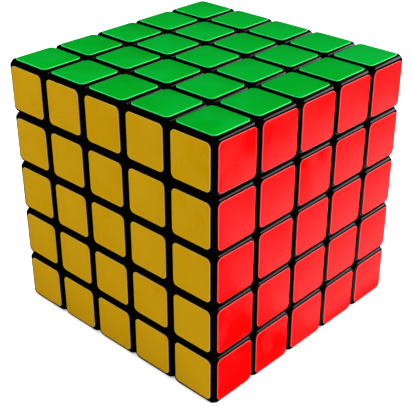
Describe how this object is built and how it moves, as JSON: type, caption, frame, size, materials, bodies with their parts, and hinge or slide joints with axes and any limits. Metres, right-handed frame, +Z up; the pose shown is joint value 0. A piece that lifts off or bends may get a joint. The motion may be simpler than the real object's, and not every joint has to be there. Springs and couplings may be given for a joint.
{
  "type": "twisty puzzle cube",
  "caption": "Black plastic twisty puzzle cube with coloured stickers, built of interlocking cubelets whose layers turn on a sprung core.",
  "frame": {"origin": "middle of the bottom face", "axes": "+Z up, -Y out of the front face, +X out of the right face"},
  "size_m": [0.068, 0.068, 0.068],
  "materials": {
    "black_plastic": "satin moulded",
    "core_plastic": "matte moulded",
    "steel": "zinc plated",
    "green_sticker": "glossy vinyl",
    "yellow_sticker": "glossy vinyl",
    "red_sticker": "glossy vinyl",
    "white_sticker": "glossy vinyl",
    "orange_sticker": "glossy vinyl",
    "blue_sticker": "glossy vinyl"
  },
  "bodies": {
    "core": {"core": "core_plastic", "left_screw": "steel", "right_screw": "steel", "front_screw": "steel", "back_screw": "steel", "bottom_screw": "steel", "top_screw": "steel", "left_spring": "steel", "right_spring": "steel", "front_spring": "steel", "back_spring": "steel", "bottom_spring": "steel", "top_spring": "steel"},
    "top_layer": {"top_centre_ring": "black_plastic", "top_fixed_centre": "black_plastic"},
    "upper_layer": {"top_inner_centre": "core_plastic"},
    "lower_layer": {"bottom_inner_centre": "core_plastic"},
    "bottom_layer": {"bottom_centre_ring": "black_plastic", "bottom_fixed_centre": "black_plastic"},
    "front_bar_middle": {"front_bar_middle": "black_plastic"},
    "front_bar_top": {"front_bar_top": "black_plastic"},
    "front_bar_upper": {"front_bar_upper": "black_plastic"},
    "front_bar_lower": {"front_bar_lower": "black_plastic"},
    "front_bar_bottom": {"front_bar_bottom": "black_plastic"},
    "back_bar_middle": {"back_bar_middle": "black_plastic"},
    "back_bar_top": {"back_bar_top": "black_plastic"},
    "back_bar_upper": {"back_bar_upper": "black_plastic"},
    "back_bar_lower": {"back_bar_lower": "black_plastic"},
    "back_bar_bottom": {"back_bar_bottom": "black_plastic"},
    "left_bar_middle": {"left_bar_middle": "black_plastic"},
    "left_bar_top": {"left_bar_top": "black_plastic"},
    "left_bar_upper": {"left_bar_upper": "black_plastic"},
    "left_bar_lower": {"left_bar_lower": "black_plastic"},
    "left_bar_bottom": {"left_bar_bottom": "black_plastic"},
    "edge_front_left_middle": {"edge_front_left_middle": "black_plastic"},
    "edge_back_left_middle": {"edge_back_left_middle": "black_plastic"},
    "corner_front_left_top": {"corner_front_left_top": "black_plastic"},
    "corner_back_left_top": {"corner_back_left_top": "black_plastic"},
    "wing_front_left_upper": {"wing_front_left_upper": "black_plastic"},
    "wing_back_left_upper": {"wing_back_left_upper": "black_plastic"},
    "wing_front_left_lower": {"wing_front_left_lower": "black_plastic"},
    "wing_back_left_lower": {"wing_back_left_lower": "black_plastic"},
    "corner_front_left_bottom": {"corner_front_left_bottom": "black_plastic"},
    "corner_back_left_bottom": {"corner_back_left_bottom": "black_plastic"},
    "right_bar_middle": {"right_bar_middle": "black_plastic"},
    "right_bar_top": {"right_bar_top": "black_plastic"},
    "right_bar_upper": {"right_bar_upper": "black_plastic"},
    "right_bar_lower": {"right_bar_lower": "black_plastic"},
    "right_bar_bottom": {"right_bar_bottom": "black_plastic"},
    "edge_front_right_middle": {"edge_front_right_middle": "black_plastic"},
    "edge_back_right_middle": {"edge_back_right_middle": "black_plastic"},
    "corner_front_right_top": {"corner_front_right_top": "black_plastic"},
    "corner_back_right_top": {"corner_back_right_top": "black_plastic"},
    "wing_front_right_upper": {"wing_front_right_upper": "black_plastic"},
    "wing_back_right_upper": {"wing_back_right_upper": "black_plastic"},
    "wing_front_right_lower": {"wing_front_right_lower": "black_plastic"},
    "wing_back_right_lower": {"wing_back_right_lower": "black_plastic"},
    "corner_front_right_bottom": {"corner_front_right_bottom": "black_plastic"},
    "corner_back_right_bottom": {"corner_back_right_bottom": "black_plastic"}
  },
  "joints": [
    {"name": "top_face_turn", "type": "hinge", "parent": "core", "child": "top_layer", "pos_m": [0, 0, 0.034], "axis": [0, 0, 1], "continuous": true},
    {"name": "upper_layer_turn", "type": "hinge", "parent": "core", "child": "upper_layer", "pos_m": [0, 0, 0.034], "axis": [0, 0, 1], "continuous": true},
    {"name": "lower_layer_turn", "type": "hinge", "parent": "core", "child": "lower_layer", "pos_m": [0, 0, 0.034], "axis": [0, 0, 1], "continuous": true},
    {"name": "bottom_face_turn", "type": "hinge", "parent": "core", "child": "bottom_layer", "pos_m": [0, 0, 0.034], "axis": [0, 0, 1], "continuous": true},
    {"name": "front_face_turn", "type": "hinge", "parent": "core", "child": "front_bar_middle", "pos_m": [0, 0, 0.034], "axis": [0, 1, 0], "range_deg": [-180, 180]},
    {"name": "front_face_turn_top", "type": "hinge", "parent": "top_layer", "child": "front_bar_top", "pos_m": [0, 0, 0.034], "axis": [0, 1, 0], "range_deg": [-180, 180]},
    {"name": "front_face_turn_upper", "type": "hinge", "parent": "upper_layer", "child": "front_bar_upper", "pos_m": [0, 0, 0.034], "axis": [0, 1, 0], "range_deg": [-180, 180]},
    {"name": "front_face_turn_lower", "type": "hinge", "parent": "lower_layer", "child": "front_bar_lower", "pos_m": [0, 0, 0.034], "axis": [0, 1, 0], "range_deg": [-180, 180]},
    {"name": "front_face_turn_bottom", "type": "hinge", "parent": "bottom_layer", "child": "front_bar_bottom", "pos_m": [0, 0, 0.034], "axis": [0, 1, 0], "range_deg": [-180, 180]},
    {"name": "back_face_turn", "type": "hinge", "parent": "core", "child": "back_bar_middle", "pos_m": [0, 0, 0.034], "axis": [0, 1, 0], "range_deg": [-180, 180]},
    {"name": "back_face_turn_top", "type": "hinge", "parent": "top_layer", "child": "back_bar_top", "pos_m": [0, 0, 0.034], "axis": [0, 1, 0], "range_deg": [-180, 180]},
    {"name": "back_face_turn_upper", "type": "hinge", "parent": "upper_layer", "child": "back_bar_upper", "pos_m": [0, 0, 0.034], "axis": [0, 1, 0], "range_deg": [-180, 180]},
    {"name": "back_face_turn_lower", "type": "hinge", "parent": "lower_layer", "child": "back_bar_lower", "pos_m": [0, 0, 0.034], "axis": [0, 1, 0], "range_deg": [-180, 180]},
    {"name": "back_face_turn_bottom", "type": "hinge", "parent": "bottom_layer", "child": "back_bar_bottom", "pos_m": [0, 0, 0.034], "axis": [0, 1, 0], "range_deg": [-180, 180]},
    {"name": "left_face_turn", "type": "hinge", "parent": "core", "child": "left_bar_middle", "pos_m": [0, 0, 0.034], "axis": [1, 0, 0], "range_deg": [-180, 180]},
    {"name": "left_face_turn_top", "type": "hinge", "parent": "top_layer", "child": "left_bar_top", "pos_m": [0, 0, 0.034], "axis": [1, 0, 0], "range_deg": [-180, 180]},
    {"name": "left_face_turn_upper", "type": "hinge", "parent": "upper_layer", "child": "left_bar_upper", "pos_m": [0, 0, 0.034], "axis": [1, 0, 0], "range_deg": [-180, 180]},
    {"name": "left_face_turn_lower", "type": "hinge", "parent": "lower_layer", "child": "left_bar_lower", "pos_m": [0, 0, 0.034], "axis": [1, 0, 0], "range_deg": [-180, 180]},
    {"name": "left_face_turn_bottom", "type": "hinge", "parent": "bottom_layer", "child": "left_bar_bottom", "pos_m": [0, 0, 0.034], "axis": [1, 0, 0], "range_deg": [-180, 180]},
    {"name": "left_face_turn_front_middle", "type": "hinge", "parent": "front_bar_middle", "child": "edge_front_left_middle", "pos_m": [0, 0, 0.034], "axis": [1, 0, 0], "range_deg": [-180, 180]},
    {"name": "left_face_turn_back_middle", "type": "hinge", "parent": "back_bar_middle", "child": "edge_back_left_middle", "pos_m": [0, 0, 0.034], "axis": [1, 0, 0], "range_deg": [-180, 180]},
    {"name": "left_face_turn_front_top", "type": "hinge", "parent": "front_bar_top", "child": "corner_front_left_top", "pos_m": [0, 0, 0.034], "axis": [1, 0, 0], "range_deg": [-180, 180]},
    {"name": "left_face_turn_back_top", "type": "hinge", "parent": "back_bar_top", "child": "corner_back_left_top", "pos_m": [0, 0, 0.034], "axis": [1, 0, 0], "range_deg": [-180, 180]},
    {"name": "left_face_turn_front_upper", "type": "hinge", "parent": "front_bar_upper", "child": "wing_front_left_upper", "pos_m": [0, 0, 0.034], "axis": [1, 0, 0], "range_deg": [-180, 180]},
    {"name": "left_face_turn_back_upper", "type": "hinge", "parent": "back_bar_upper", "child": "wing_back_left_upper", "pos_m": [0, 0, 0.034], "axis": [1, 0, 0], "range_deg": [-180, 180]},
    {"name": "left_face_turn_front_lower", "type": "hinge", "parent": "front_bar_lower", "child": "wing_front_left_lower", "pos_m": [0, 0, 0.034], "axis": [1, 0, 0], "range_deg": [-180, 180]},
    {"name": "left_face_turn_back_lower", "type": "hinge", "parent": "back_bar_lower", "child": "wing_back_left_lower", "pos_m": [0, 0, 0.034], "axis": [1, 0, 0], "range_deg": [-180, 180]},
    {"name": "left_face_turn_front_bottom", "type": "hinge", "parent": "front_bar_bottom", "child": "corner_front_left_bottom", "pos_m": [0, 0, 0.034], "axis": [1, 0, 0], "range_deg": [-180, 180]},
    {"name": "left_face_turn_back_bottom", "type": "hinge", "parent": "back_bar_bottom", "child": "corner_back_left_bottom", "pos_m": [0, 0, 0.034], "axis": [1, 0, 0], "range_deg": [-180, 180]},
    {"name": "right_face_turn", "type": "hinge", "parent": "core", "child": "right_bar_middle", "pos_m": [0, 0, 0.034], "axis": [1, 0, 0], "range_deg": [-180, 180]},
    {"name": "right_face_turn_top", "type": "hinge", "parent": "top_layer", "child": "right_bar_top", "pos_m": [0, 0, 0.034], "axis": [1, 0, 0], "range_deg": [-180, 180]},
    {"name": "right_face_turn_upper", "type": "hinge", "parent": "upper_layer", "child": "right_bar_upper", "pos_m": [0, 0, 0.034], "axis": [1, 0, 0], "range_deg": [-180, 180]},
    {"name": "right_face_turn_lower", "type": "hinge", "parent": "lower_layer", "child": "right_bar_lower", "pos_m": [0, 0, 0.034], "axis": [1, 0, 0], "range_deg": [-180, 180]},
    {"name": "right_face_turn_bottom", "type": "hinge", "parent": "bottom_layer", "child": "right_bar_bottom", "pos_m": [0, 0, 0.034], "axis": [1, 0, 0], "range_deg": [-180, 180]},
    {"name": "right_face_turn_front_middle", "type": "hinge", "parent": "front_bar_middle", "child": "edge_front_right_middle", "pos_m": [0, 0, 0.034], "axis": [1, 0, 0], "range_deg": [-180, 180]},
    {"name": "right_face_turn_back_middle", "type": "hinge", "parent": "back_bar_middle", "child": "edge_back_right_middle", "pos_m": [0, 0, 0.034], "axis": [1, 0, 0], "range_deg": [-180, 180]},
    {"name": "right_face_turn_front_top", "type": "hinge", "parent": "front_bar_top", "child": "corner_front_right_top", "pos_m": [0, 0, 0.034], "axis": [1, 0, 0], "range_deg": [-180, 180]},
    {"name": "right_face_turn_back_top", "type": "hinge", "parent": "back_bar_top", "child": "corner_back_right_top", "pos_m": [0, 0, 0.034], "axis": [1, 0, 0], "range_deg": [-180, 180]},
    {"name": "right_face_turn_front_upper", "type": "hinge", "parent": "front_bar_upper", "child": "wing_front_right_upper", "pos_m": [0, 0, 0.034], "axis": [1, 0, 0], "range_deg": [-180, 180]},
    {"name": "right_face_turn_back_upper", "type": "hinge", "parent": "back_bar_upper", "child": "wing_back_right_upper", "pos_m": [0, 0, 0.034], "axis": [1, 0, 0], "range_deg": [-180, 180]},
    {"name": "right_face_turn_front_lower", "type": "hinge", "parent": "front_bar_lower", "child": "wing_front_right_lower", "pos_m": [0, 0, 0.034], "axis": [1, 0, 0], "range_deg": [-180, 180]},
    {"name": "right_face_turn_back_lower", "type": "hinge", "parent": "back_bar_lower", "child": "wing_back_right_lower", "pos_m": [0, 0, 0.034], "axis": [1, 0, 0], "range_deg": [-180, 180]},
    {"name": "right_face_turn_front_bottom", "type": "hinge", "parent": "front_bar_bottom", "child": "corner_front_right_bottom", "pos_m": [0, 0, 0.034], "axis": [1, 0, 0], "range_deg": [-180, 180]},
    {"name": "right_face_turn_back_bottom", "type": "hinge", "parent": "back_bar_bottom", "child": "corner_back_right_bottom", "pos_m": [0, 0, 0.034], "axis": [1, 0, 0], "range_deg": [-180, 180]}
  ],
  "couplings": [
    {"joint": "front_face_turn_top", "follows": "front_face_turn", "ratio": 1},
    {"joint": "front_face_turn_upper", "follows": "front_face_turn", "ratio": 1},
    {"joint": "front_face_turn_lower", "follows": "front_face_turn", "ratio": 1},
    {"joint": "front_face_turn_bottom", "follows": "front_face_turn", "ratio": 1},
    {"joint": "back_face_turn_top", "follows": "back_face_turn", "ratio": 1},
    {"joint": "back_face_turn_upper", "follows": "back_face_turn", "ratio": 1},
    {"joint": "back_face_turn_lower", "follows": "back_face_turn", "ratio": 1},
    {"joint": "back_face_turn_bottom", "follows": "back_face_turn", "ratio": 1},
    {"joint": "left_face_turn_top", "follows": "left_face_turn", "ratio": 1},
    {"joint": "left_face_turn_upper", "follows": "left_face_turn", "ratio": 1},
    {"joint": "left_face_turn_lower", "follows": "left_face_turn", "ratio": 1},
    {"joint": "left_face_turn_bottom", "follows": "left_face_turn", "ratio": 1},
    {"joint": "left_face_turn_front_middle", "follows": "left_face_turn", "ratio": 1},
    {"joint": "left_face_turn_back_middle", "follows": "left_face_turn", "ratio": 1},
    {"joint": "left_face_turn_front_top", "follows": "left_face_turn", "ratio": 1},
    {"joint": "left_face_turn_back_top", "follows": "left_face_turn", "ratio": 1},
    {"joint": "left_face_turn_front_upper", "follows": "left_face_turn", "ratio": 1},
    {"joint": "left_face_turn_back_upper", "follows": "left_face_turn", "ratio": 1},
    {"joint": "left_face_turn_front_lower", "follows": "left_face_turn", "ratio": 1},
    {"joint": "left_face_turn_back_lower", "follows": "left_face_turn", "ratio": 1},
    {"joint": "left_face_turn_front_bottom", "follows": "left_face_turn", "ratio": 1},
    {"joint": "left_face_turn_back_bottom", "follows": "left_face_turn", "ratio": 1},
    {"joint": "right_face_turn_top", "follows": "right_face_turn", "ratio": 1},
    {"joint": "right_face_turn_upper", "follows": "right_face_turn", "ratio": 1},
    {"joint": "right_face_turn_lower", "follows": "right_face_turn", "ratio": 1},
    {"joint": "right_face_turn_bottom", "follows": "right_face_turn", "ratio": 1},
    {"joint": "right_face_turn_front_middle", "follows": "right_face_turn", "ratio": 1},
    {"joint": "right_face_turn_back_middle", "follows": "right_face_turn", "ratio": 1},
    {"joint": "right_face_turn_front_top", "follows": "right_face_turn", "ratio": 1},
    {"joint": "right_face_turn_back_top", "follows": "right_face_turn", "ratio": 1},
    {"joint": "right_face_turn_front_upper", "follows": "right_face_turn", "ratio": 1},
    {"joint": "right_face_turn_back_upper", "follows": "right_face_turn", "ratio": 1},
    {"joint": "right_face_turn_front_lower", "follows": "right_face_turn", "ratio": 1},
    {"joint": "right_face_turn_back_lower", "follows": "right_face_turn", "ratio": 1},
    {"joint": "right_face_turn_front_bottom", "follows": "right_face_turn", "ratio": 1},
    {"joint": "right_face_turn_back_bottom", "follows": "right_face_turn", "ratio": 1}
  ]
}
